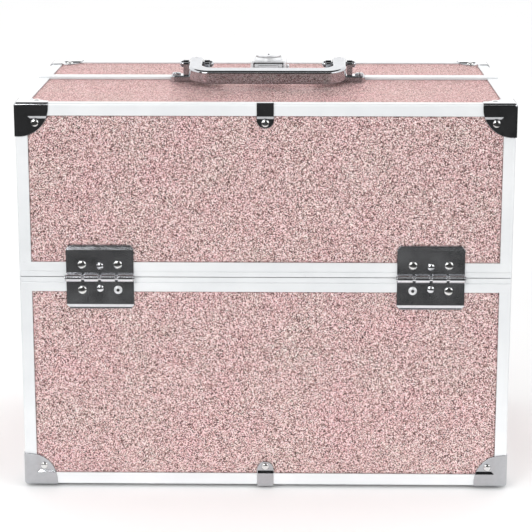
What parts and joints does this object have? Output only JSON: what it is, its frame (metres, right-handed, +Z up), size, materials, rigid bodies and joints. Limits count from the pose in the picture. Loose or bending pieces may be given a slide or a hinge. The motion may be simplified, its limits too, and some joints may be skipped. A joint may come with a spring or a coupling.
{
  "type": "makeup train case",
  "caption": "Aluminium-framed train case with glitter panels; its split top opens as two hinged half lids that swing cantilever trays outwards, with a folding bail handle and a key lock.",
  "frame": {"origin": "on the surface that the feet stand on, under the middle of the case", "axes": "+Z up; -Y is the front, where the deeper half lid is hinged; +X is to the right seen from the front"},
  "size_m": [0.367, 0.2522, 0.3131],
  "materials": {
    "glitter_board": "board with a pink glitter film",
    "satin_aluminium": "satin anodised",
    "chrome": "polished",
    "hinge_steel": "polished nickel plate",
    "arm_steel": "zinc plated",
    "black_lining": "textured foam sheet",
    "tray_plastic": "fine grained",
    "foot_rubber": "matte"
  },
  "bodies": {
    "base": {"base_bottom_rails": "satin_aluminium", "base_centre_clips": "chrome", "base_corner_caps": "chrome", "base_corner_posts": "satin_aluminium", "base_floor_panel": "glitter_board", "base_front_panel": "glitter_board", "base_lining": "black_lining", "base_rear_panel": "glitter_board", "base_rim_rails": "satin_aluminium", "base_rivets": "hinge_steel", "base_side_panels": "glitter_board", "hinge_lower_leaves": "hinge_steel", "hinge_pins": "hinge_steel", "feet": "foot_rubber", "floor_pad": "black_lining", "tray_bar_studs": "arm_steel"},
    "front_lid": {"front_lid_centre_clip": "chrome", "front_lid_corner_caps": "chrome", "front_lid_edge_rails": "satin_aluminium", "front_lid_front_panel": "glitter_board", "front_lid_lining": "black_lining", "front_lid_rim_rails": "satin_aluminium", "front_lid_rivets": "hinge_steel", "front_lid_side_panels": "glitter_board", "front_lid_top_panel": "glitter_board", "front_hinge_upper_leaves": "hinge_steel", "front_slot_plates": "arm_steel", "handle_brackets": "chrome", "handle_screws": "chrome", "handle_pins": "chrome", "lock_strike": "chrome"},
    "rear_lid": {"rear_lid_centre_clip": "chrome", "rear_lid_corner_caps": "chrome", "rear_lid_edge_rails": "satin_aluminium", "rear_lid_lining": "black_lining", "rear_lid_rear_panel": "glitter_board", "rear_lid_rim_rails": "satin_aluminium", "rear_lid_rivets": "hinge_steel", "rear_lid_seam_strip": "satin_aluminium", "rear_lid_side_panels": "glitter_board", "rear_lid_top_panel": "glitter_board", "rear_hinge_upper_leaves": "hinge_steel", "rear_slot_plates": "arm_steel", "lock_housing": "chrome", "lock_flap_pin": "chrome"},
    "handle": {"handle_bail": "chrome"},
    "flap": {"lock_flap": "chrome"},
    "key_cylinder": {"lock_cylinder": "chrome"},
    "front_outer_bar_pair": {"front_outer_bars": "arm_steel", "front_outer_bar_rivets": "arm_steel"},
    "front_inner_bar_pair": {"front_inner_bars": "arm_steel", "front_inner_bar_rivets": "arm_steel"},
    "front_lower_tray_body": {"front_lower_tray": "tray_plastic"},
    "front_upper_tray_body": {"front_upper_tray": "tray_plastic"},
    "rear_outer_bar_pair": {"rear_outer_bars": "arm_steel", "rear_outer_bar_rivets": "arm_steel"},
    "rear_inner_bar_pair": {"rear_inner_bars": "arm_steel", "rear_inner_bar_rivets": "arm_steel"},
    "rear_lower_tray_body": {"rear_lower_tray": "tray_plastic"},
    "rear_upper_tray_body": {"rear_upper_tray": "tray_plastic"}
  },
  "joints": [
    {"name": "front_lid_hinge", "type": "hinge", "parent": "base", "child": "front_lid", "pos_m": [0, -0.1232, 0.1653], "axis": [1, 0, 0], "range_deg": [0, 95]},
    {"name": "rear_lid_hinge", "type": "hinge", "parent": "base", "child": "rear_lid", "pos_m": [0, 0.1232, 0.1653], "axis": [-1, 0, 0], "range_deg": [0, 95]},
    {"name": "handle_swing", "type": "hinge", "parent": "front_lid", "child": "handle", "pos_m": [0, 0.006, 0.3075], "axis": [-1, 0, 0], "range_deg": [0, 105]},
    {"name": "lock_flap_swing", "type": "hinge", "parent": "rear_lid", "child": "flap", "pos_m": [0, 0.0345, 0.3029], "axis": [-1, 0, 0], "range_deg": [0, 60]},
    {"name": "key_cylinder_turn", "type": "hinge", "parent": "rear_lid", "child": "key_cylinder", "pos_m": [0, 0.045, 0.3085], "axis": [0, 0, 1], "range_deg": [0, 90]},
    {"name": "front_outer_bar_swing", "type": "hinge", "parent": "base", "child": "front_outer_bar_pair", "pos_m": [0, -0.0872, 0.1473], "axis": [1, 0, 0], "range_deg": [0, 60]},
    {"name": "front_inner_bar_swing", "type": "hinge", "parent": "base", "child": "front_inner_bar_pair", "pos_m": [0, -0.0532, 0.1473], "axis": [1, 0, 0], "range_deg": [0, 60]},
    {"name": "front_lower_tray_level", "type": "hinge", "parent": "front_outer_bar_pair", "child": "front_lower_tray_body", "pos_m": [0, -0.06668, 0.20368], "axis": [1, 0, 0], "range_deg": [-60, 0]},
    {"name": "front_upper_tray_level", "type": "hinge", "parent": "front_outer_bar_pair", "child": "front_upper_tray_body", "pos_m": [0, -0.04971, 0.25029], "axis": [1, 0, 0], "range_deg": [-60, 0]},
    {"name": "rear_outer_bar_swing", "type": "hinge", "parent": "base", "child": "rear_outer_bar_pair", "pos_m": [0, 0.0872, 0.1473], "axis": [-1, 0, 0], "range_deg": [0, 60]},
    {"name": "rear_inner_bar_swing", "type": "hinge", "parent": "base", "child": "rear_inner_bar_pair", "pos_m": [0, 0.0672, 0.1473], "axis": [-1, 0, 0], "range_deg": [0, 60]},
    {"name": "rear_lower_tray_level", "type": "hinge", "parent": "rear_outer_bar_pair", "child": "rear_lower_tray_body", "pos_m": [0, 0.06668, 0.20368], "axis": [-1, 0, 0], "range_deg": [-60, 0]},
    {"name": "rear_upper_tray_level", "type": "hinge", "parent": "rear_outer_bar_pair", "child": "rear_upper_tray_body", "pos_m": [0, 0.04971, 0.25029], "axis": [-1, 0, 0], "range_deg": [-60, 0]}
  ],
  "couplings": [
    {"joint": "front_outer_bar_swing", "follows": "front_lid_hinge", "ratio": 0.63158},
    {"joint": "front_inner_bar_swing", "follows": "front_lid_hinge", "ratio": 0.63158},
    {"joint": "front_lower_tray_level", "follows": "front_lid_hinge", "ratio": -0.63158},
    {"joint": "front_upper_tray_level", "follows": "front_lid_hinge", "ratio": -0.63158},
    {"joint": "rear_outer_bar_swing", "follows": "rear_lid_hinge", "ratio": 0.63158},
    {"joint": "rear_inner_bar_swing", "follows": "rear_lid_hinge", "ratio": 0.63158},
    {"joint": "rear_lower_tray_level", "follows": "rear_lid_hinge", "ratio": -0.63158},
    {"joint": "rear_upper_tray_level", "follows": "rear_lid_hinge", "ratio": -0.63158}
  ]
}
